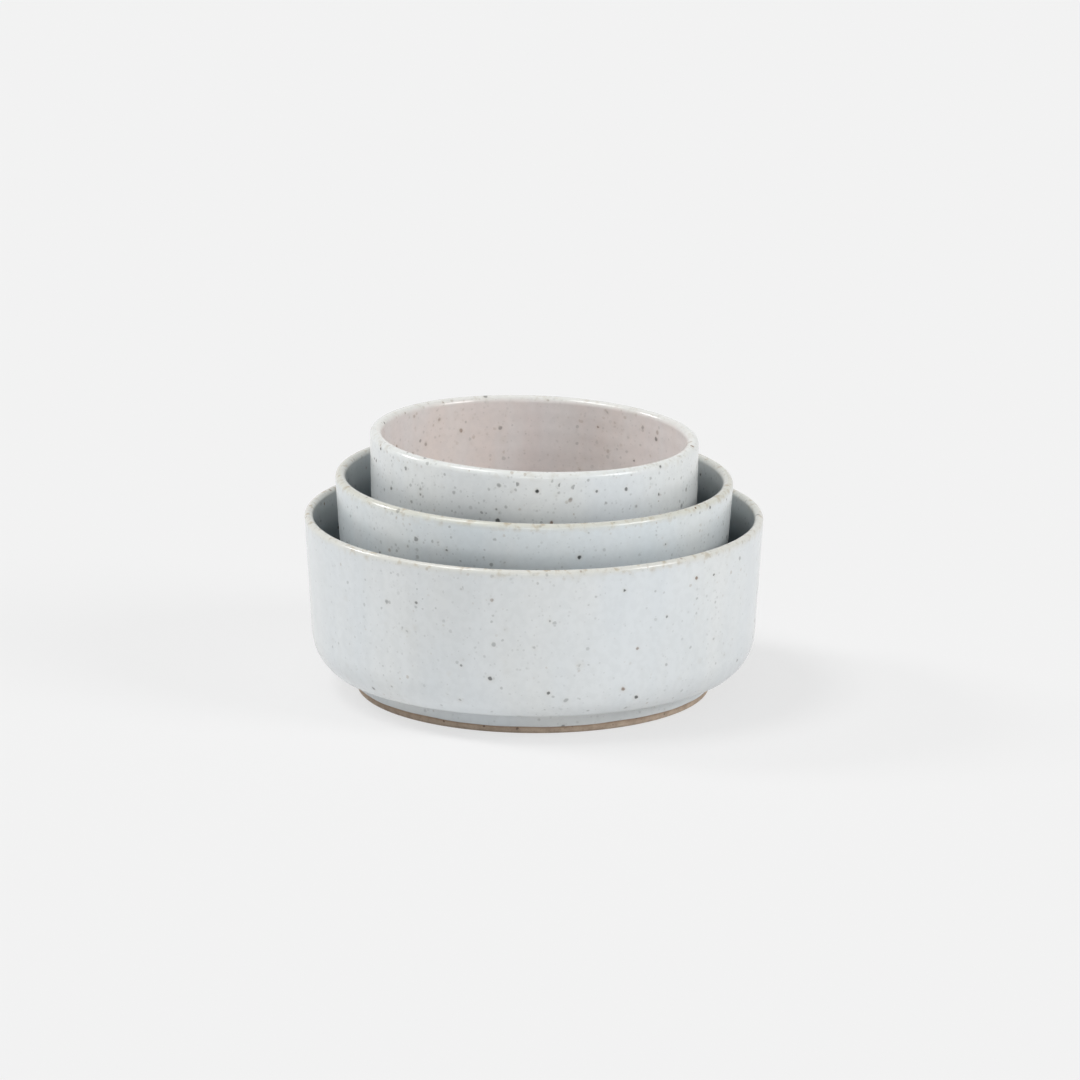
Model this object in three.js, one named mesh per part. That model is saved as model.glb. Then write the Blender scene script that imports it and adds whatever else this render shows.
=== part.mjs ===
// A nest of three wheel-thrown stoneware bowls, each standing on the inside floor of the next one out.
// Millimetres, +Z up. The origin is the centre of the large bowl's foot, on the surface that it stands on.
import * as THREE from "three";

// Rims: outside radius of the largest, thickness of each lip, and the finger gaps that size the two inner bowls.
const LARGE_RIM_RADIUS = 76.4;
const LARGE_LIP = 3;
const MEDIUM_LIP = 3.5;
const SMALL_LIP = 4;
const LARGE_TO_MEDIUM_GAP = 7.2;
const MEDIUM_TO_SMALL_GAP = 8.1;

// Height of each bowl, from its own foot to the middle of its rim.
const LARGE_HEIGHT = 59.8;
const MEDIUM_HEIGHT = 59.2;
const SMALL_HEIGHT = 60;

// How much lower each hand-cut rim is at +X than at -X.
const LARGE_RIM_FALL = 0.4;
const MEDIUM_RIM_FALL = 2.1;
const SMALL_RIM_FALL = 3.3;

// How far each wall leans outwards, which differs from bowl to bowl as it does when walls are drawn up by hand.
const LARGE_DRAFT_DEGREES = 3.6;
const MEDIUM_DRAFT_DEGREES = 4.2;
const SMALL_DRAFT_DEGREES = 1;

// Wall and floor, thrown alike on all three bowls.
const WALL_THICKNESS = 4.2;
const FLOOR_THICKNESS = 6.5;
const INSIDE_CORNER_RADIUS = 10;

// Outside corner, which turns under the wall and stops at a crisp shoulder edge above the foot.
const CORNER_RADIUS = 15.5;
const CORNER_TURN_DEGREES = 53;
const SHOULDER_RISE = 1.4;

// Foot ring, turned after throwing: height, width, how far it is set in under the shoulder, draft and soft edges.
const FOOT_HEIGHT = 7;
const FOOT_RING_WIDTH = 8;
const FOOT_SET_IN = 8;
const FOOT_DRAFT_DEGREES = 5;
const FOOT_EDGE_RADIUS = 1.2;
const FOOT_FILLET_RADIUS = 1.6;

// Facets: steps round the axis, and along the arcs of the section.
const TURN_STEPS = 48;
const CORNER_STEPS = 5;
const LIP_STEPS = 6;
const EDGE_STEPS = 2;

const FLOOR_LEVEL = FOOT_HEIGHT + FLOOR_THICKNESS;
const SHOULDER_LEVEL = FOOT_HEIGHT + SHOULDER_RISE;
const QUARTER_TURN = Math.PI / 2;
const footDraft = THREE.MathUtils.degToRad(FOOT_DRAFT_DEGREES);
const cornerTurn = THREE.MathUtils.degToRad(CORNER_TURN_DEGREES);

const LARGE = {
  name: "large_bowl",
  rimRadius: LARGE_RIM_RADIUS,
  lip: LARGE_LIP,
  height: LARGE_HEIGHT,
  rimFall: LARGE_RIM_FALL,
  draft: THREE.MathUtils.degToRad(LARGE_DRAFT_DEGREES),
};
const MEDIUM = {
  name: "medium_bowl",
  rimRadius: LARGE.rimRadius - LARGE.lip - LARGE_TO_MEDIUM_GAP,
  lip: MEDIUM_LIP,
  height: MEDIUM_HEIGHT,
  rimFall: MEDIUM_RIM_FALL,
  draft: THREE.MathUtils.degToRad(MEDIUM_DRAFT_DEGREES),
};
const SMALL = {
  name: "small_bowl",
  rimRadius: MEDIUM.rimRadius - MEDIUM.lip - MEDIUM_TO_SMALL_GAP,
  lip: SMALL_LIP,
  height: SMALL_HEIGHT,
  rimFall: SMALL_RIM_FALL,
  draft: THREE.MathUtils.degToRad(SMALL_DRAFT_DEGREES),
};

// A leaning wall in section has a radius at one level and opens outwards, going up, by its draft.
function wallRadius(wall, level) {
  return wall.radius + (level - wall.level) * Math.tan(wall.draft);
}

// Centre of a round that touches a leaning wall from within; a negative radius touches it from outside.
function roundCentre(wall, level, radius) {
  return new THREE.Vector2(wallRadius(wall, level) - radius / Math.cos(wall.draft), level);
}

// Points along a round, between two angles in radians from the outward direction.
function arc(centre, radius, from, to, steps) {
  const points = [];
  for (let step = 0; step <= steps; step++) {
    const angle = THREE.MathUtils.lerp(from, to, step / steps);
    const out = centre.x + radius * Math.cos(angle);
    const up = centre.y + radius * Math.sin(angle);
    points.push(new THREE.Vector2(out, up));
  }
  return points;
}

// Foot ring from the middle of its recess, under the bowl and out to the fillet below the shoulder.
function footSection(shoulderRadius) {
  const outside = { radius: shoulderRadius - FOOT_SET_IN, level: FOOT_HEIGHT, draft: footDraft };
  const filletLevel = FOOT_HEIGHT - FOOT_FILLET_RADIUS;
  const fillet = roundCentre(outside, filletLevel, -FOOT_FILLET_RADIUS);
  const outsideEdge = roundCentre(outside, FOOT_EDGE_RADIUS, FOOT_EDGE_RADIUS);
  const ringRadius = outside.radius - FOOT_RING_WIDTH;
  const insideEdge = new THREE.Vector2(ringRadius + FOOT_EDGE_RADIUS, FOOT_EDGE_RADIUS);
  const recessFillet = new THREE.Vector2(ringRadius - FOOT_FILLET_RADIUS, filletLevel);
  return [
    new THREE.Vector2(0, FOOT_HEIGHT),
    ...arc(recessFillet, FOOT_FILLET_RADIUS, QUARTER_TURN, 0, EDGE_STEPS),
    ...arc(insideEdge, FOOT_EDGE_RADIUS, 2 * QUARTER_TURN, 3 * QUARTER_TURN, EDGE_STEPS),
    ...arc(outsideEdge, FOOT_EDGE_RADIUS, -QUARTER_TURN, -footDraft, EDGE_STEPS),
    ...arc(fillet, FOOT_FILLET_RADIUS, 2 * QUARTER_TURN - footDraft, QUARTER_TURN, EDGE_STEPS),
  ];
}

// Half of a bowl's section, from the axis under the floor, round the foot, wall and lip, and back to the axis.
function bowlSection(bowl) {
  const lipRadius = bowl.lip / 2;
  const lipLevel = bowl.height - lipRadius;
  const lipCentre = new THREE.Vector2(bowl.rimRadius - lipRadius, lipLevel);

  const outside = { radius: bowl.rimRadius, level: lipLevel, draft: bowl.draft };
  const cornerLevel = SHOULDER_LEVEL + CORNER_RADIUS * Math.sin(cornerTurn);
  const corner = roundCentre(outside, cornerLevel, CORNER_RADIUS);
  const shoulderRadius = corner.x + CORNER_RADIUS * Math.cos(cornerTurn);

  // The wall thickens from the lip down to the inside corner, so its inside has a draft of its own.
  const insideLevel = FLOOR_LEVEL + INSIDE_CORNER_RADIUS;
  const lipInside = bowl.rimRadius - bowl.lip;
  const thickening = lipInside - (wallRadius(outside, insideLevel) - WALL_THICKNESS);
  const insideDraft = Math.atan2(thickening, lipLevel - insideLevel);
  const inside = { radius: lipInside, level: lipLevel, draft: insideDraft };
  const insideCorner = roundCentre(inside, insideLevel, INSIDE_CORNER_RADIUS);

  return [
    ...footSection(shoulderRadius),
    ...arc(corner, CORNER_RADIUS, -cornerTurn, -bowl.draft, CORNER_STEPS),
    ...arc(lipCentre, lipRadius, 0, 2 * QUARTER_TURN, LIP_STEPS),
    ...arc(insideCorner, INSIDE_CORNER_RADIUS, -insideDraft, -QUARTER_TURN, CORNER_STEPS),
    new THREE.Vector2(0, FLOOR_LEVEL),
  ];
}

// Above the floor the wall is sheared, so that the rim slopes down towards +X while floor and foot stay level.
function slopeRim(geometry, bowl) {
  const position = geometry.getAttribute("position");
  for (let index = 0; index < position.count; index++) {
    const level = position.getZ(index);
    const share = THREE.MathUtils.clamp((level - FLOOR_LEVEL) / (bowl.height - FLOOR_LEVEL), 0, 1);
    const across = position.getX(index) / bowl.rimRadius;
    position.setZ(index, level - (bowl.rimFall / 2) * share * across);
  }
}

function makeBowl(bowl, glaze) {
  const geometry = new THREE.LatheGeometry(bowlSection(bowl), TURN_STEPS);
  geometry.rotateX(QUARTER_TURN);
  slopeRim(geometry, bowl);
  geometry.computeVertexNormals();
  const mesh = new THREE.Mesh(geometry, glaze);
  mesh.name = bowl.name;
  return mesh;
}

// Pale satin glazes: cool grey on the outer two bowls, a little warmer on the small one.
const largeGlaze = new THREE.MeshStandardMaterial({ color: 0xd0d4d5, roughness: 0.38, metalness: 0 });
const mediumGlaze = new THREE.MeshStandardMaterial({ color: 0xccd0d4, roughness: 0.36, metalness: 0 });
const smallGlaze = new THREE.MeshStandardMaterial({ color: 0xd2d0cf, roughness: 0.36, metalness: 0 });

// Each inner bowl stands with the flat of its foot ring on the flat floor of the bowl around it.
const smallSeat = new THREE.Group();
smallSeat.position.z = FLOOR_LEVEL;
smallSeat.add(makeBowl(SMALL, smallGlaze));

const mediumSeat = new THREE.Group();
mediumSeat.position.z = FLOOR_LEVEL;
mediumSeat.add(makeBowl(MEDIUM, mediumGlaze), smallSeat);

const nest = new THREE.Group();
nest.add(makeBowl(LARGE, largeGlaze), mediumSeat);

export default nest;
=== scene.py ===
# A nest of three wheel-thrown stoneware bowls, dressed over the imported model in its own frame: metres, +Z up.
import math
from types import SimpleNamespace

import bpy
import numpy as np
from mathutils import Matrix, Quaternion, Vector


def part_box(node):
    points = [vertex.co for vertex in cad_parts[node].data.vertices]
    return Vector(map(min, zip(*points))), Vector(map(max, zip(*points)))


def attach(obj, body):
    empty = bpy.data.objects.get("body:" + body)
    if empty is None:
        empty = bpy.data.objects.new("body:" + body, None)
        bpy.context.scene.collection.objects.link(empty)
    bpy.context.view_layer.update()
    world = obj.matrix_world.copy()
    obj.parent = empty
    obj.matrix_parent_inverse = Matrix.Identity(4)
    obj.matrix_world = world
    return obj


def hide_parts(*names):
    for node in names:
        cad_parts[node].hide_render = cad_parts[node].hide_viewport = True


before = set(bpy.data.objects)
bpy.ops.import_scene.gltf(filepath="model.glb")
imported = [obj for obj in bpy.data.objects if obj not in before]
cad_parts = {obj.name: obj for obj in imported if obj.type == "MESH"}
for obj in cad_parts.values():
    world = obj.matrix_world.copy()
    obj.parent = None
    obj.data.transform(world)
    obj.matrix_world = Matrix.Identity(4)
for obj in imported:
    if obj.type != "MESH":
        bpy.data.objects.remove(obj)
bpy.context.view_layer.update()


# Large bowl. Speckled stoneware thrown on a wheel, with a foot turned under a crisp shoulder once the clay is
# leather hard. It is dipped in a pale satin glaze, which is wiped off the last few millimetres of the foot so
# that it doesn't stick in the kiln, and it stands loose on that bare brown edge.
MM = 0.001
QUARTER_TURN = math.pi / 2
FULL_TURN = 4 * QUARTER_TURN

# Wall, floor and foot, thrown and turned alike on all three bowls.
WALL_THICKNESS = 4.2 * MM
FLOOR_THICKNESS = 6.5 * MM
INSIDE_CORNER = 10 * MM
OUTSIDE_CORNER = 15.5 * MM
CORNER_TURN = math.radians(53)
SHOULDER_RISE = 1.4 * MM
SHOULDER_SOFTNESS = 0.4 * MM
FOOT_HEIGHT = 7 * MM
FOOT_SET_IN = 8 * MM
FOOT_RING_WIDTH = 8 * MM
FOOT_DRAFT = math.radians(5)
FOOT_EDGE = 1.2 * MM
FOOT_FILLET = 1.6 * MM
FLOOR_LEVEL = FOOT_HEIGHT + FLOOR_THICKNESS
SHOULDER_LEVEL = FOOT_HEIGHT + SHOULDER_RISE

# The glaze stands proud of the bare clay and ends in a small roll, at a line that wavers round the foot.
GLAZE_THICKNESS = 0.35 * MM
GLAZE_LINE = 2.5 * MM
GLAZE_LINE_WAVER = 0.22 * MM
GLAZE_LINE_FADE = 0.9 * MM

# What hands and tools leave: finger grooves that spiral up the wall, finer ones from turning the recess,
# and a wall and rim that wander a little.
FINGER_PITCH = 6.5 * MM
OUTSIDE_GROOVE = 0.04 * MM
INSIDE_GROOVE = 0.11 * MM
TOOL_PITCH = 2.4 * MM
TOOL_GROOVE = 0.12 * MM
OUT_OF_ROUND = 0.1 * MM
RIM_WAVER = 0.15 * MM

# Fineness of the meshes: steps round the axis, along the section, and along the rounds in it.
TURN_STEPS = 240
LONGEST_STEP = 1.6 * MM
STEPS_IN_A_GROOVE = 5
EDGE_STEPS = 5
ROLL_STEPS = 4
FILLET_STEPS = 6
CORNER_STEPS = 14
LIP_STEPS = 7
INSIDE_CORNER_STEPS = 12


def bowl_sizes(node, lip, rim_fall, draft_degrees):
    """A bowl's sizes: its place, width and height come from its solid, whose rim falls towards +X."""
    low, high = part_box(node)
    rim_radius = high.x
    crest_radius = rim_radius - lip / 2
    crest_rise = rim_fall / 2 * crest_radius / rim_radius
    return SimpleNamespace(
        rim_radius=rim_radius,
        lip=lip,
        rim_fall=rim_fall,
        draft=math.radians(draft_degrees),
        foot=low.z,
        height=high.z - low.z - crest_rise,
    )


def wall_radius(wall, level):
    """Radius of a leaning wall at a level; going up, it opens outwards by its draft."""
    return wall.radius + (level - wall.level) * math.tan(wall.draft)


def round_centre(wall, level, radius):
    """Centre of a round that touches a leaning wall from within, or with a negative radius from outside."""
    return wall_radius(wall, level) - radius / math.cos(wall.draft), level


def arc(centre, radius, start, end, steps):
    """Points along a round of the section, between two angles from the outward direction."""
    out, up = centre
    angles = np.linspace(start, end, steps + 1)
    return [(out + radius * math.cos(angle), up + radius * math.sin(angle)) for angle in angles]


def stretch(points, finish, groove=0.0, pitch=FINGER_PITCH):
    """A stretch of the section with one finish, cut into steps short enough to carry its grooves."""
    longest = min(LONGEST_STEP, pitch / STEPS_IN_A_GROOVE)
    rounding = 1e-6
    filled = [points[0]]
    for start, end in zip(points, points[1:]):
        steps = math.ceil(math.dist(start, end) / longest - rounding)
        filled.extend(np.linspace(start, end, steps + 1)[1:])
    return [SimpleNamespace(out=out, up=up, finish=finish, groove=groove, pitch=pitch) for out, up in filled]


def foot_section(shoulder_radius):
    """The turned foot: recess, standing ring and outside wall, bare to the glaze line and glazed above it."""
    outside = SimpleNamespace(radius=shoulder_radius - FOOT_SET_IN, level=FOOT_HEIGHT, draft=FOOT_DRAFT)
    bare = SimpleNamespace(radius=outside.radius - GLAZE_THICKNESS, level=FOOT_HEIGHT, draft=FOOT_DRAFT)
    ring_radius = outside.radius - FOOT_RING_WIDTH
    fillet_level = FOOT_HEIGHT - FOOT_FILLET
    recess_radius = ring_radius - FOOT_FILLET
    recess_fillet = (recess_radius, fillet_level)
    inside_edge = (ring_radius + FOOT_EDGE, FOOT_EDGE)
    outside_edge = round_centre(bare, FOOT_EDGE, FOOT_EDGE)
    roll = round_centre(outside, GLAZE_LINE + GLAZE_THICKNESS, GLAZE_THICKNESS)
    fillet = round_centre(outside, fillet_level, -FOOT_FILLET)

    recess = [(0, FOOT_HEIGHT), (recess_radius, FOOT_HEIGHT)]
    ring = [
        *arc(recess_fillet, FOOT_FILLET, QUARTER_TURN, 0, EDGE_STEPS),
        *arc(inside_edge, FOOT_EDGE, 2 * QUARTER_TURN, 3 * QUARTER_TURN, EDGE_STEPS),
        *arc(outside_edge, FOOT_EDGE, -QUARTER_TURN, -FOOT_DRAFT, EDGE_STEPS),
        (wall_radius(bare, GLAZE_LINE), GLAZE_LINE),
    ]
    glazed = [
        *arc(roll, GLAZE_THICKNESS, -QUARTER_TURN, -FOOT_DRAFT, ROLL_STEPS),
        *arc(fillet, FOOT_FILLET, 2 * QUARTER_TURN - FOOT_DRAFT, QUARTER_TURN, FILLET_STEPS),
    ]
    return [
        *stretch(recess, "clay", TOOL_GROOVE, TOOL_PITCH),
        *stretch(ring, "clay")[1:],
        *stretch(glazed, "outside"),
    ]


def bowl_section(bowl):
    """Half of a bowl's section: from the axis under the floor, round foot, wall and lip, and back to it."""
    lip_radius = bowl.lip / 2
    lip_level = bowl.height - lip_radius
    lip_centre = (bowl.rim_radius - lip_radius, lip_level)

    outside = SimpleNamespace(radius=bowl.rim_radius, level=lip_level, draft=bowl.draft)
    corner_level = SHOULDER_LEVEL + OUTSIDE_CORNER * math.sin(CORNER_TURN)
    corner = round_centre(outside, corner_level, OUTSIDE_CORNER)
    shoulder_radius = corner[0] + OUTSIDE_CORNER * math.cos(CORNER_TURN)
    soft_turn = CORNER_TURN - SHOULDER_SOFTNESS / OUTSIDE_CORNER

    # The wall thickens from the lip down to the inside corner, so its inside has a draft of its own.
    inside_level = FLOOR_LEVEL + INSIDE_CORNER
    lip_inside = bowl.rim_radius - bowl.lip
    thickening = lip_inside - (wall_radius(outside, inside_level) - WALL_THICKNESS)
    inside_draft = math.atan2(thickening, lip_level - inside_level)
    inside = SimpleNamespace(radius=lip_inside, level=lip_level, draft=inside_draft)
    inside_corner = round_centre(inside, inside_level, INSIDE_CORNER)

    foot = foot_section(shoulder_radius)
    foot_end = Vector((foot[-1].out, foot[-1].up))
    shoulder = Vector((shoulder_radius, SHOULDER_LEVEL))
    underside = [foot_end, shoulder + SHOULDER_SOFTNESS * (foot_end - shoulder).normalized()]
    lip_start = (bowl.rim_radius, lip_level)
    wall = [*arc(corner, OUTSIDE_CORNER, -soft_turn, -bowl.draft, CORNER_STEPS), lip_start]
    lip_out = arc(lip_centre, lip_radius, 0, QUARTER_TURN, LIP_STEPS)
    lip_in = arc(lip_centre, lip_radius, QUARTER_TURN, 2 * QUARTER_TURN, LIP_STEPS)
    inside_bend = arc(inside_corner, INSIDE_CORNER, -inside_draft, -QUARTER_TURN, INSIDE_CORNER_STEPS)
    cavity = [lip_in[-1], *inside_bend]
    floor = [cavity[-1], (0, FLOOR_LEVEL)]

    # Where two stretches meet in a point, the later one leaves it out.
    return [
        *foot,
        *stretch(underside, "outside")[1:],
        *stretch(wall, "outside", OUTSIDE_GROOVE),
        *stretch(lip_out, "outside")[1:],
        *stretch(lip_in, "inside")[1:],
        *stretch(cavity, "inside", INSIDE_GROOVE)[1:],
        *stretch(floor, "inside", INSIDE_GROOVE)[1:],
    ]


def measure(section):
    """A section as arrays, with the way travelled along it and where it climbs the foot's outside wall."""
    out = np.array([point.out for point in section])
    up = np.array([point.up for point in section])
    steps = np.hypot(np.diff(out), np.diff(up))
    beyond_recess = out > out[np.argmin(up)]
    return SimpleNamespace(
        out=out,
        up=up,
        groove=np.array([point.groove for point in section]),
        pitch=np.array([point.pitch for point in section]),
        travel=np.concatenate([[0], np.cumsum(steps)]),
        on_foot_wall=beyond_recess & (up > FOOT_EDGE) & (up < FOOT_HEIGHT - FOOT_FILLET),
    )


def wavers(turn, *waves):
    """A slow wander round the axis, from 0 to 1, made of (waves in a turn, phase) pairs of falling weight."""
    total = sum(np.sin(count * turn + phase) / rank for rank, (count, phase) in enumerate(waves, start=1))
    reach = sum(1 / rank for rank in range(1, len(waves) + 1))
    return 0.5 + 0.5 * total / reach


def thrown_rings(bowl, profile, phase):
    """A ring of points round the axis for each point of the section, as hands and tools leave them."""
    turn = np.linspace(0, FULL_TURN, TURN_STEPS, endpoint=False)
    up = profile.up[:, None]

    # Going along the section the clay lies on the left, so a groove is cut to the left of the way.
    along_out = np.gradient(profile.out)
    along_up = np.gradient(profile.up)
    length = np.hypot(along_out, along_up)
    spiral = FULL_TURN * (profile.travel / profile.pitch)[:, None] + turn
    cut = profile.groove[:, None] * (0.5 + 0.5 * np.sin(spiral))
    ring_out = profile.out[:, None] - cut * (along_up / length)[:, None]
    ring_up = up + cut * (along_out / length)[:, None]

    # The wall drifts out of round from the floor up, and it wanders up and down close to the rim.
    share = np.clip((up - FLOOR_LEVEL) / (bowl.height - FLOOR_LEVEL), 0, 1)
    close_to_rim = share**4
    drift = wavers(turn, (2, phase), (3, 2 * phase + 1), (5, 3 * phase))
    dips = wavers(turn, (3, 2 - phase), (4, phase), (7, 3 + phase))
    ring_out = ring_out - OUT_OF_ROUND * share * drift
    ring_up = ring_up - RIM_WAVER * close_to_rim * dips

    # The glaze line wanders up and down the foot wall, and fades into it above and below.
    close_to_line = np.exp(-np.square((up - GLAZE_LINE) / GLAZE_LINE_FADE)) * profile.on_foot_wall[:, None]
    sway = 2 * wavers(turn, (5, phase), (11, 2 * phase), (23, 1 + phase)) - 1
    ring_up = ring_up + GLAZE_LINE_WAVER * close_to_line * sway

    # The rim is cut out of level, so the wall is sheared down towards +X, while floor and foot stay level.
    fall = bowl.rim_fall / 2 * share * (ring_out / bowl.rim_radius) * np.cos(turn)
    ring_up = ring_up - fall + bowl.foot
    return np.stack([ring_out * np.cos(turn), ring_out * np.sin(turn), ring_up], axis=2)


def join_rings(rings):
    """Points and faces of one closed mesh; the first and last rings lie on the axis, so each is one point."""
    points = np.concatenate([rings[0, :1], rings[1:-1].reshape(-1, 3), rings[-1, :1]])
    start = 1 + TURN_STEPS * np.arange(len(rings) - 2)
    step = np.arange(TURN_STEPS)
    following = (step + 1) % TURN_STEPS
    first = np.zeros_like(step)
    last = np.full_like(step, len(points) - 1)
    faces = np.stack([first, start[0] + following, start[0] + step], axis=1).tolist()
    for lower, upper in zip(start, start[1:]):
        band = np.stack([lower + step, lower + following, upper + following, upper + step], axis=1)
        faces.extend(band.tolist())
    faces.extend(np.stack([last, start[-1] + step, start[-1] + following], axis=1).tolist())
    return points.tolist(), faces


# Where the glaze runs thin, to either side of the lip's crest, where painted shade darkens the inside going
# down, standing for the shade deep in the gaps between the bowls, and how far from the glaze line the fire
# catches the clay.
THIN_GLAZE_OUTSIDE = 2.6 * MM
THIN_GLAZE_INSIDE = 2.4 * MM
PAINTED_SHADE_START = 1 * MM
PAINTED_SHADE_END = 14 * MM
SCORCH_REACH = 0.5 * MM


def finish_masks(bowl, profile):
    """What the finishes read off the mesh, from 0 to 1: thin glaze, painted shade inside, and scorched clay."""
    crest = profile.travel[np.argmax(profile.up)]
    thin_reach = np.where(profile.travel < crest, THIN_GLAZE_OUTSIDE, THIN_GLAZE_INSIDE)
    depth = bowl.height - profile.up
    from_line = np.abs(profile.up - GLAZE_LINE)
    return {
        "thin_glaze": np.exp(-np.square((profile.travel - crest) / thin_reach)),
        "painted_gap_shade": np.clip((depth - PAINTED_SHADE_START) / (PAINTED_SHADE_END - PAINTED_SHADE_START), 0, 1),
        "scorch": np.exp(-from_line / SCORCH_REACH) * profile.on_foot_wall,
    }


def throw_bowl(name, bowl, finishes, phase):
    """A bowl as one closed mesh, with a finish on each band of its section and the masks for the finishes."""
    section = bowl_section(bowl)
    profile = measure(section)
    points, faces = join_rings(thrown_rings(bowl, profile, phase))
    mesh = bpy.data.meshes.new(name)
    mesh.from_pydata(points, [], faces)
    mesh.shade_smooth()

    for material in finishes.values():
        mesh.materials.append(material)
    order = list(finishes)
    bands = [order.index(point.finish) for point in section[1:]]
    mesh.polygons.foreach_set("material_index", np.repeat(bands, TURN_STEPS))
    for label, weight in finish_masks(bowl, profile).items():
        values = np.concatenate([weight[:1], np.repeat(weight[1:-1], TURN_STEPS), weight[-1:]])
        mesh.attributes.new(label, "FLOAT", "POINT").data.foreach_set("value", values)

    piece = bpy.data.objects.new(name, mesh)
    bpy.context.scene.collection.objects.link(piece)
    return piece


def srgb(red, green, blue):
    """A colour as it looks on a screen, from 0 to 255, for a shader."""
    shares = [value / 255 for value in (red, green, blue)]
    linear = [share / 12.92 if share <= 0.04045 else ((share + 0.055) / 1.055) ** 2.4 for share in shares]
    return *linear, 1.0


def place(tree, kind, inputs, **settings):
    """Adds a node; an input is either a plain value or the output of another node."""
    node = tree.nodes.new(kind)
    for label, value in settings.items():
        setattr(node, label, value)
    for label, value in inputs.items():
        if isinstance(value, bpy.types.NodeSocket):
            tree.links.new(value, node.inputs[label])
        else:
            node.inputs[label].default_value = value
    return node


def math_node(tree, operation, first, second=0.0, third=0.0):
    """The result of a Math node on two or three values."""
    inputs = {0: first, 1: second, 2: third}
    return place(tree, "ShaderNodeMath", inputs, operation=operation).outputs[0]


def vector_node(tree, operation, first, second, third=(0.0, 0.0, 0.0)):
    """The result of a Vector Math node on two or three vectors; a number counts in all three directions."""
    inputs = {0: first, 1: second, 2: third}
    return place(tree, "ShaderNodeVectorMath", inputs, operation=operation).outputs[0]


def noise(tree, spot, per_metre, detail):
    """The outputs of a soft noise with so many waves to the metre."""
    inputs = {"Vector": spot, "Scale": per_metre, "Detail": detail}
    return place(tree, "ShaderNodeTexNoise", inputs).outputs


def ramp(tree, value, low, high, start=0.0, end=1.0):
    """A value eased from start to end as it goes from low to high."""
    inputs = {"Value": value, "From Min": low, "From Max": high, "To Min": start, "To Max": end}
    return place(tree, "ShaderNodeMapRange", inputs, interpolation_type="SMOOTHSTEP").outputs["Result"]


def lay_over(tree, mask, under, over, strength=1.0):
    """One colour laid over another by a mask; sockets 6 and 7 of a Mix node are its two colours."""
    amount = math_node(tree, "MULTIPLY", mask, strength)
    inputs = {"Factor": amount, 6: under, 7: over}
    return place(tree, "ShaderNodeMix", inputs, data_type="RGBA").outputs[2]


def new_group(name, inputs, outputs):
    """An empty shader group, what it is given and what it gives; all but a Vector are plain numbers."""
    group = bpy.data.node_groups.new(name, "ShaderNodeTree")
    for label in inputs:
        kind = "NodeSocketVector" if label == "Vector" else "NodeSocketFloat"
        group.interface.new_socket(name=label, in_out="INPUT", socket_type=kind)
    for label in outputs:
        group.interface.new_socket(name=label, in_out="OUTPUT", socket_type="NodeSocketFloat")
    return group, group.nodes.new("NodeGroupInput").outputs, group.nodes.new("NodeGroupOutput").inputs


def use_group(tree, group, inputs):
    """The outputs of a shader group, placed in a material with its own values."""
    return place(tree, "ShaderNodeGroup", inputs, node_tree=group).outputs


# Grains of iron go down to these shares of the largest size and of the full strength. A noise with so many
# waves to a radius pushes their outlines about, over this share of a radius. The dark core and the halo
# fade out from one distance to the other, counted in radii.
SMALLEST_GRAIN = 0.5
FAINTEST_GRAIN = 0.4
RAGGED_WAVES = 0.8
RAGGED_PUSH = 0.7
CORE_FULL = 0.5
CORE_END = 1.0
HALO_FULL = 0.7
HALO_END = 2.2


def iron_speck_group():
    """Grains of iron in the clay that melt up through the glaze: ragged dark dots, each in a softer halo."""
    group, given, result = new_group(
        "iron specks", ["Vector", "Spacing", "Radius", "Share"], ["Core", "Halo", "Tone"]
    )
    ragged_scale = math_node(group, "DIVIDE", RAGGED_WAVES, given["Radius"])
    ragged = noise(group, given["Vector"], ragged_scale, detail=1.0)["Color"]
    centred = vector_node(group, "SUBTRACT", ragged, (0.5, 0.5, 0.5))
    push = math_node(group, "MULTIPLY", given["Radius"], RAGGED_PUSH)
    spot = vector_node(group, "MULTIPLY_ADD", centred, push, given["Vector"])

    per_metre = math_node(group, "DIVIDE", 1.0, given["Spacing"])
    grains = place(group, "ShaderNodeTexVoronoi", {"Vector": spot, "Scale": per_metre}).outputs
    chance = place(group, "ShaderNodeSeparateColor", {"Color": grains["Color"]}).outputs
    tone = place(group, "ShaderNodeTexWhiteNoise", {"Vector": grains["Color"]}).outputs["Value"]
    present = math_node(group, "LESS_THAN", chance["Red"], given["Share"])
    size = math_node(group, "MULTIPLY_ADD", chance["Green"], 1.0 - SMALLEST_GRAIN, SMALLEST_GRAIN)
    strength = ramp(group, chance["Blue"], low=0.0, high=1.0, start=FAINTEST_GRAIN, end=1.0)
    strength = math_node(group, "MULTIPLY", strength, present)

    radius = math_node(group, "MULTIPLY", size, given["Radius"])
    distance = math_node(group, "MULTIPLY", grains["Distance"], given["Spacing"])
    reach = math_node(group, "DIVIDE", distance, radius)
    core = math_node(group, "MULTIPLY", ramp(group, reach, low=CORE_END, high=CORE_FULL), strength)
    halo = math_node(group, "MULTIPLY", ramp(group, reach, low=HALO_END, high=HALO_FULL), strength)
    group.links.new(core, result["Core"])
    group.links.new(halo, result["Halo"])
    group.links.new(tone, result["Tone"])
    return group


# Waves to the metre in a glaze. Clouds and runs are drawn out down the wall, so many times their width.
CLOUDS_PER_METRE = 28
RUNS_PER_METRE = 90
RIPPLES_PER_METRE = 420
DRAWN_OUT = 4


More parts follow.
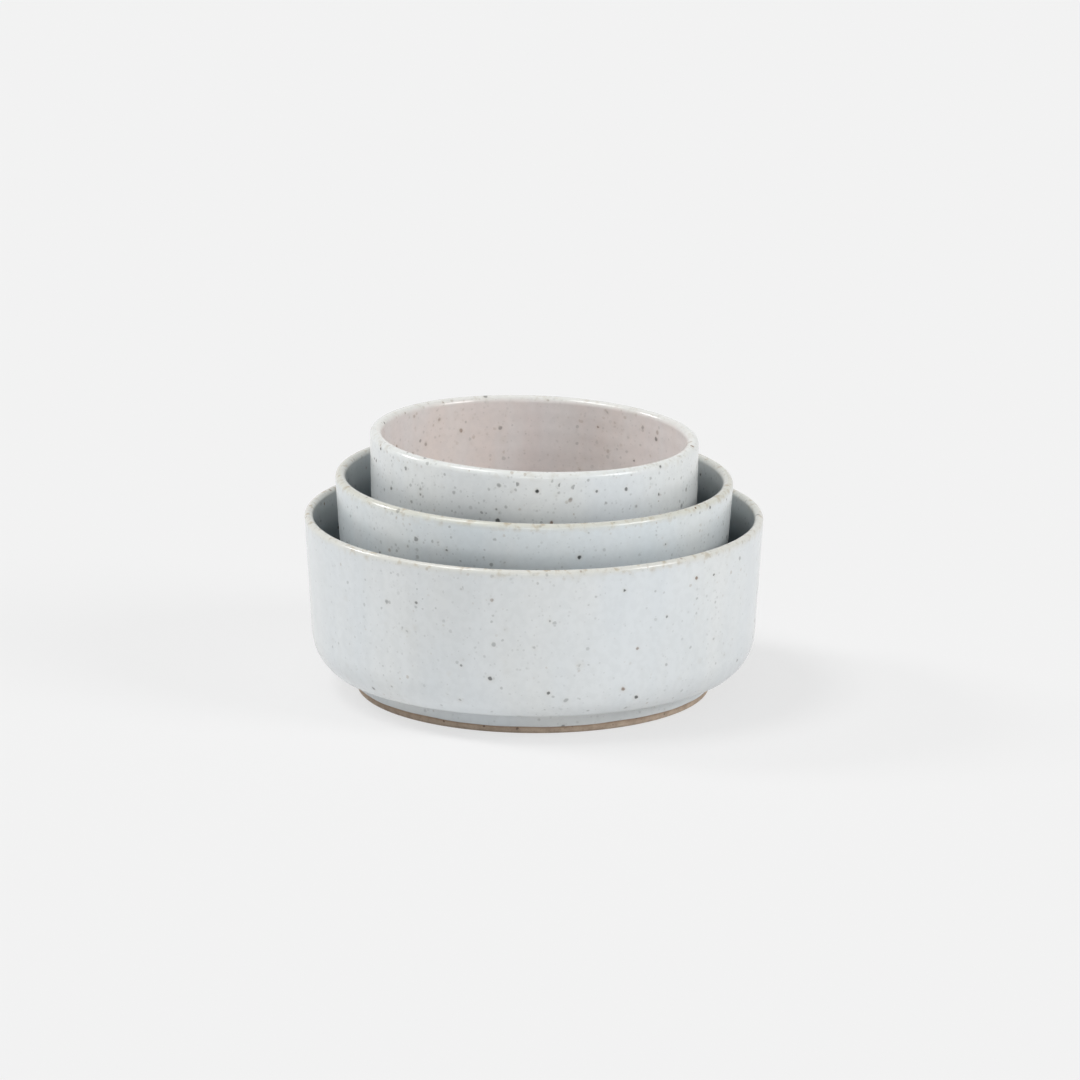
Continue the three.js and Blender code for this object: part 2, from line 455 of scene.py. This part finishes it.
def glaze_flow_group():
    """How a dipped glaze lies: broad clouds and runs drawn out down the wall, and a faintly rippled skin."""
    group, given, result = new_group("glaze flow", ["Vector"], ["Clouds", "Runs", "Skin"])
    drawn_out = vector_node(group, "MULTIPLY", given["Vector"], (1.0, 1.0, 1.0 / DRAWN_OUT))
    clouds = noise(group, drawn_out, CLOUDS_PER_METRE, detail=3.0)["Fac"]
    runs = noise(group, drawn_out, RUNS_PER_METRE, detail=2.0)["Fac"]
    skin = noise(group, given["Vector"], RIPPLES_PER_METRE, detail=3.0)["Fac"]
    group.links.new(ramp(group, clouds, low=0.32, high=0.68), result["Clouds"])
    group.links.new(ramp(group, runs, low=0.35, high=0.7), result["Runs"])
    group.links.new(skin, result["Skin"])
    return group


# Waves to the metre where the glaze breaks on a lip, and how much they fray the edge of the break.
PATCHES_PER_METRE = 340
FRAYING = 0.5


def rim_break_group():
    """Glaze breaks where it runs thin over a lip: creamy along it, and toasted in patches on the crest."""
    group, given, result = new_group("rim break", ["Vector", "Thin Glaze"], ["Creamy", "Toasted"])
    patches = noise(group, given["Vector"], PATCHES_PER_METRE, detail=4.0)["Fac"]
    frayed = math_node(group, "MULTIPLY_ADD", patches, FRAYING, -FRAYING / 2)
    thin = math_node(group, "ADD", given["Thin Glaze"], frayed)
    bare = ramp(group, patches, low=0.52, high=0.7)
    toasted = math_node(group, "MULTIPLY", bare, given["Thin Glaze"])
    group.links.new(ramp(group, thin, low=0.05, high=0.8), result["Creamy"])
    group.links.new(toasted, result["Toasted"])
    return group


iron_specks = iron_speck_group()
glaze_flow = glaze_flow_group()
rim_break = rim_break_group()


def new_finish(name):
    """A new material, with its nodes and its shader, and the place on the bowl that its patterns go by."""
    material = bpy.data.materials.new(name)
    material.use_nodes = True
    tree = material.node_tree
    on_bowl = place(tree, "ShaderNodeTexCoord", {}).outputs["Object"]
    return material, tree, tree.nodes["Principled BSDF"], on_bowl


def mesh_mask(tree, label):
    """One of the masks that a bowl's mesh carries."""
    return place(tree, "ShaderNodeAttribute", {}, attribute_name=label).outputs["Fac"]


def roughen(tree, shader, height, strength, depth):
    """Gives a finish its fine relief."""
    bump = place(tree, "ShaderNodeBump", {"Strength": strength, "Distance": depth, "Height": height})
    tree.links.new(bump.outputs["Normal"], shader.inputs["Normal"])


# What shows in every glaze: pale runs, a grey grain, tan where the lip is toasted, and iron in three sizes of
# grain, a fine peppering, middling dots and a few bold ones, each of them dark or rusty.
PALE_RUN = srgb(216, 219, 220)
GREY_GRAIN = srgb(150, 154, 154)
TOASTED = srgb(160, 144, 116)
IRON_HALO = srgb(164, 150, 124)
FINE_IRON = SimpleNamespace(
    spacing=1.7 * MM,
    radius=0.6 * MM,
    share=0.9,
    core=0.17,
    halo=0.0,
    dark=srgb(110, 112, 110),
    rusty=srgb(142, 124, 98),
)
MIDDLING_IRON = SimpleNamespace(
    spacing=2.8 * MM,
    radius=0.86 * MM,
    share=0.5,
    core=0.34,
    halo=0.0,
    dark=srgb(90, 92, 90),
    rusty=srgb(136, 112, 82),
)
BOLD_IRON = SimpleNamespace(
    spacing=4.8 * MM,
    radius=1.04 * MM,
    share=0.42,
    core=0.84,
    halo=0.1,
    dark=srgb(46, 46, 44),
    rusty=srgb(110, 82, 56),
)


def glaze(
    name,
    cool,
    warm,
    rim,
    painted_shade=None,
    toast=0.7,
    speck_share=1.0,
    speck_strength=1.0,
    rust_share=0.12,
    shift=120 * MM,
):
    """A satin stoneware glaze: two close tones that drift into each other, a broken lip and iron specks.

    The shift slides the whole pattern along, so that glazes that meet aren't marked alike.
    """
    material, tree, shader, on_bowl = new_finish(name)
    spot = vector_node(tree, "ADD", on_bowl, (shift, shift, shift))
    thin = mesh_mask(tree, "thin_glaze")
    flow = use_group(tree, glaze_flow, {"Vector": spot})
    edge = use_group(tree, rim_break, {"Vector": spot, "Thin Glaze": thin})

    tint = lay_over(tree, flow["Clouds"], cool, warm)
    tint = lay_over(tree, flow["Runs"], tint, PALE_RUN, strength=0.35)
    # Painted shade: the inside glaze darkens going down, standing for the shade in the gaps between the bowls.
    if painted_shade:
        tint = lay_over(tree, mesh_mask(tree, "painted_gap_shade"), tint, painted_shade)
    tint = lay_over(tree, edge["Creamy"], tint, rim, strength=0.85)
    tint = lay_over(tree, edge["Toasted"], tint, TOASTED, strength=toast)
    grain = ramp(tree, flow["Skin"], low=0.4, high=0.62)
    tint = lay_over(tree, grain, tint, GREY_GRAIN, strength=0.06)

    # Iron crowds where the glaze is warm, and where it is thin, and there it shows rustier too.
    fewest = 0.45 * speck_share
    most = 1.45 * speck_share
    patchy = ramp(tree, flow["Clouds"], low=0.0, high=1.0, start=fewest, end=most)
    crowding = math_node(tree, "MULTIPLY_ADD", thin, 0.6, patchy)
    rustiness = math_node(tree, "MULTIPLY_ADD", thin, 0.4, rust_share)
    for iron in (FINE_IRON, MIDDLING_IRON, BOLD_IRON):
        present = math_node(tree, "MULTIPLY", crowding, iron.share)
        dose = {"Vector": spot, "Spacing": iron.spacing, "Radius": iron.radius, "Share": present}
        specks = use_group(tree, iron_specks, dose)
        is_rusty = math_node(tree, "LESS_THAN", specks["Tone"], rustiness)
        iron_tint = lay_over(tree, is_rusty, iron.dark, iron.rusty)
        if iron.halo:
            tint = lay_over(tree, specks["Halo"], tint, IRON_HALO, strength=iron.halo)
        tint = lay_over(tree, specks["Core"], tint, iron_tint, strength=iron.core * speck_strength)

    gloss = ramp(tree, flow["Skin"], low=0.3, high=0.7, start=0.16, end=0.26)
    tree.links.new(tint, shader.inputs["Base Color"])
    tree.links.new(gloss, shader.inputs["Roughness"])
    roughen(tree, shader, flow["Skin"], strength=0.15, depth=0.1 * MM)
    return material


# Colours of the bare clay, waves to the metre of its mottling and its grog, and two sizes of iron grit in it.
DARK_CLAY = srgb(164, 146, 129)
PALE_CLAY = srgb(190, 172, 154)
BROWN_GROG = srgb(126, 104, 88)
SCORCHED_CLAY = srgb(142, 108, 82)
IRON_GRIT = srgb(74, 58, 48)
MOTTLES_PER_METRE = 300
GROG_PER_METRE = 1500
FINE_GRIT = SimpleNamespace(spacing=1.7 * MM, radius=0.24 * MM, share=0.6)
BOLD_GRIT = SimpleNamespace(spacing=2.8 * MM, radius=0.64 * MM, share=0.7)


def bare_clay(name):
    """Unglazed stoneware: buff brown with grog and grit, darker where the fire caught it beside the glaze."""
    material, tree, shader, spot = new_finish(name)
    mottle = noise(tree, spot, MOTTLES_PER_METRE, detail=5.0)["Fac"]
    grog = noise(tree, spot, GROG_PER_METRE, detail=3.0)["Fac"]
    tint = lay_over(tree, ramp(tree, mottle, low=0.3, high=0.7), DARK_CLAY, PALE_CLAY)
    tint = lay_over(tree, ramp(tree, grog, low=0.55, high=0.75), tint, BROWN_GROG, strength=0.4)
    tint = lay_over(tree, mesh_mask(tree, "scorch"), tint, SCORCHED_CLAY, strength=0.5)
    for grit in (FINE_GRIT, BOLD_GRIT):
        dose = {"Vector": spot, "Spacing": grit.spacing, "Radius": grit.radius, "Share": grit.share}
        specks = use_group(tree, iron_specks, dose)
        tint = lay_over(tree, specks["Core"], tint, IRON_GRIT, strength=0.8)
    dryness = ramp(tree, mottle, low=0.3, high=0.7, start=0.78, end=0.92)
    tree.links.new(tint, shader.inputs["Base Color"])
    tree.links.new(dryness, shader.inputs["Roughness"])
    roughen(tree, shader, grog, strength=0.6, depth=0.12 * MM)
    return material


clay = bare_clay("buff stoneware clay")
grey_glaze = glaze(
    "pale grey glaze",
    cool=srgb(206, 211, 214),
    warm=srgb(210, 212, 211),
    rim=srgb(203, 202, 194),
    speck_share=0.8,
)
# Painted shade: this liner is the outside glaze made darker, for the shade deep in the gaps between the nested
# bowls, and it grows darker still going down the inside, also painted shade; its lip colour is the thin glaze.
grey_liner_with_painted_shade = glaze(
    "grey liner glaze darkened as painted shade",
    cool=srgb(188, 195, 198),
    warm=srgb(193, 197, 197),
    rim=srgb(204, 204, 197),
    painted_shade=srgb(124, 133, 137),
)

large = bowl_sizes("large_bowl", lip=3 * MM, rim_fall=0.4 * MM, draft_degrees=3.6)
large_finishes = {"outside": grey_glaze, "inside": grey_liner_with_painted_shade, "clay": clay}
large_bowl = throw_bowl("large_bowl_glazed", large, large_finishes, phase=0.4)
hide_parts("large_bowl")
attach(large_bowl, "large")


# Medium bowl. Thrown like the large one, in a glaze that is a little bluer outside and the same inside. It
# isn't fixed: it stands on the large bowl's floor, with room for a finger all round to lift it out.
blue_grey_glaze = glaze(
    "pale blue-grey glaze",
    cool=srgb(207, 215, 219),
    warm=srgb(213, 217, 217),
    rim=srgb(195, 194, 182),
    speck_share=1.2,
    speck_strength=1.15,
)

medium = bowl_sizes("medium_bowl", lip=3.5 * MM, rim_fall=2.1 * MM, draft_degrees=4.2)
medium_finishes = {"outside": blue_grey_glaze, "inside": grey_liner_with_painted_shade, "clay": clay}
medium_bowl = throw_bowl("medium_bowl_glazed", medium, medium_finishes, phase=2.1)
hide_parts("medium_bowl")
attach(medium_bowl, "medium")


# Small bowl. The same clay under a paler grey glaze, with a warmer, pinkish liner glaze inside that lets more
# of the iron through. It stands loose on the medium bowl's floor.
small_glaze = glaze(
    "pale grey glaze of the small bowl",
    cool=srgb(213, 218, 221),
    warm=srgb(218, 220, 218),
    rim=srgb(211, 213, 210),
    toast=0.3,
    speck_share=1.5,
    speck_strength=1.2,
)
warm_liner = glaze(
    "warm liner glaze",
    cool=srgb(214, 207, 205),
    warm=srgb(219, 210, 205),
    rim=srgb(213, 214, 210),
    toast=0.3,
    speck_share=2.2,
    speck_strength=0.75,
    rust_share=0.5,
    shift=200 * MM,
)

small = bowl_sizes("small_bowl", lip=4 * MM, rim_fall=3.3 * MM, draft_degrees=1.0)
small_finishes = {"outside": small_glaze, "inside": warm_liner, "clay": clay}
small_bowl = throw_bowl("small_bowl_glazed", small, small_finishes, phase=4.3)
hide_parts("small_bowl")
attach(small_bowl, "small")


# Studio. A plain pale table top without an edge in sight, an even pale surround, and four broad soft lamps:
# on the right in front, low in front, on the left behind, and high on the left.
TABLE_HALF = 30.0
TABLE_DROP = 0.02 * MM
PALE = srgb(242, 242, 242)
TABLE_UNDER_LAMPS = srgb(225, 225, 225)
TABLE_BOUNCE = srgb(237, 237, 237)
EVEN_SHARE = 0.72
SURROUND_LIGHT = 0.43


def seen_rays(tree):
    """1 for rays that show the studio itself, straight, mirrored or through glass, and 0 for others."""
    rays = place(tree, "ShaderNodeLightPath", {}).outputs
    straight_or_mirrored = math_node(tree, "MAXIMUM", rays["Is Camera Ray"], rays["Is Glossy Ray"])
    return math_node(tree, "MAXIMUM", straight_or_mirrored, rays["Is Transmission Ray"])


def mix_shaders(tree, amount, first, second):
    """Two shaders mixed: none of the second at 0, and only the second at 1."""
    return place(tree, "ShaderNodeMixShader", {0: amount, 1: first.outputs[0], 2: second.outputs[0]})


# The table shows mostly as one even tone. The rest of it is lit, so that it keeps a soft shadow.
table_paint = bpy.data.materials.new("pale table top")
table_paint.use_nodes = True
table_tree = table_paint.node_tree
table_tree.nodes.remove(table_tree.nodes["Principled BSDF"])
table_bounce = place(table_tree, "ShaderNodeBsdfDiffuse", {"Color": TABLE_BOUNCE})
table_under_lamps = place(table_tree, "ShaderNodeBsdfDiffuse", {"Color": TABLE_UNDER_LAMPS})
table_even = place(table_tree, "ShaderNodeEmission", {"Color": PALE, "Strength": 1.0})
table_seen = mix_shaders(table_tree, EVEN_SHARE, table_under_lamps, table_even)
table_mix = mix_shaders(table_tree, seen_rays(table_tree), table_bounce, table_seen)
table_tree.links.new(table_mix.outputs[0], table_tree.nodes["Material Output"].inputs["Surface"])

table_mesh = bpy.data.meshes.new("table")
table_sides = [(-1, -1), (1, -1), (1, 1), (-1, 1)]
table_corners = [(x * TABLE_HALF, y * TABLE_HALF, -TABLE_DROP) for x, y in table_sides]
table_mesh.from_pydata(table_corners, [], [(0, 1, 2, 3)])
table_mesh.materials.append(table_paint)
table_top = bpy.data.objects.new("table", table_mesh)
bpy.context.scene.collection.objects.link(table_top)

surround = bpy.data.worlds.new("pale surround")
surround.use_nodes = True
bpy.context.scene.world = surround
sky_tree = surround.node_tree
sky_tree.nodes.remove(sky_tree.nodes["Background"])
sky_light = place(sky_tree, "ShaderNodeBackground", {"Color": (1, 1, 1, 1), "Strength": SURROUND_LIGHT})
sky_seen = place(sky_tree, "ShaderNodeBackground", {"Color": PALE, "Strength": 1.0})
sky_mix = mix_shaders(sky_tree, seen_rays(sky_tree), sky_light, sky_seen)
sky_tree.links.new(sky_mix.outputs[0], sky_tree.nodes["World Output"].inputs["Surface"])


def soft_lamp(name, brightness, spread, azimuth, elevation):
    """A broad far lamp, as bright as a white card facing it; azimuth goes from the front to the right."""
    lamp = bpy.data.lights.new(name, "SUN")
    lamp.energy = brightness * math.pi
    lamp.angle = math.radians(spread)
    side = math.radians(azimuth)
    rise = math.radians(elevation)
    towards = Vector((math.sin(side) * math.cos(rise), -math.cos(side) * math.cos(rise), math.sin(rise)))
    holder = bpy.data.objects.new(name, lamp)
    holder.rotation_mode = "QUATERNION"
    holder.rotation_quaternion = towards.to_track_quat("Z", "Y")
    bpy.context.scene.collection.objects.link(holder)


soft_lamp("right lamp", brightness=0.42, spread=25, azimuth=66, elevation=28)
soft_lamp("low front lamp", brightness=0.14, spread=30, azimuth=0, elevation=8)
soft_lamp("left lamp", brightness=0.3, spread=14, azimuth=-110, elevation=35)
soft_lamp("high left lamp", brightness=0.4, spread=22, azimuth=-80, elevation=65)

# Camera: a long lens far off and a little above, at the place worked out from the rims and the foot.
CAMERA_DISTANCE = 2.6
CAMERA_HEIGHT = 0.73277
AIM_LEVEL = 0.0502
AIM_OFFSET = 2.04 * MM
CAMERA_LEAN = math.radians(0.32)
LENS = 269.1
SENSOR = 36.0

lens = bpy.data.cameras.new("camera")
lens.lens = LENS
lens.sensor_width = SENSOR
camera = bpy.data.objects.new("camera", lens)
camera.location = (0, -CAMERA_DISTANCE, CAMERA_HEIGHT)
aim = Vector((AIM_OFFSET, 0, AIM_LEVEL)) - camera.location
camera.rotation_mode = "QUATERNION"
camera.rotation_quaternion = aim.to_track_quat("-Z", "Y") @ Quaternion((0, 0, 1), CAMERA_LEAN)
bpy.context.scene.collection.objects.link(camera)
bpy.context.scene.camera = camera
bpy.context.scene.view_settings.view_transform = "Standard"
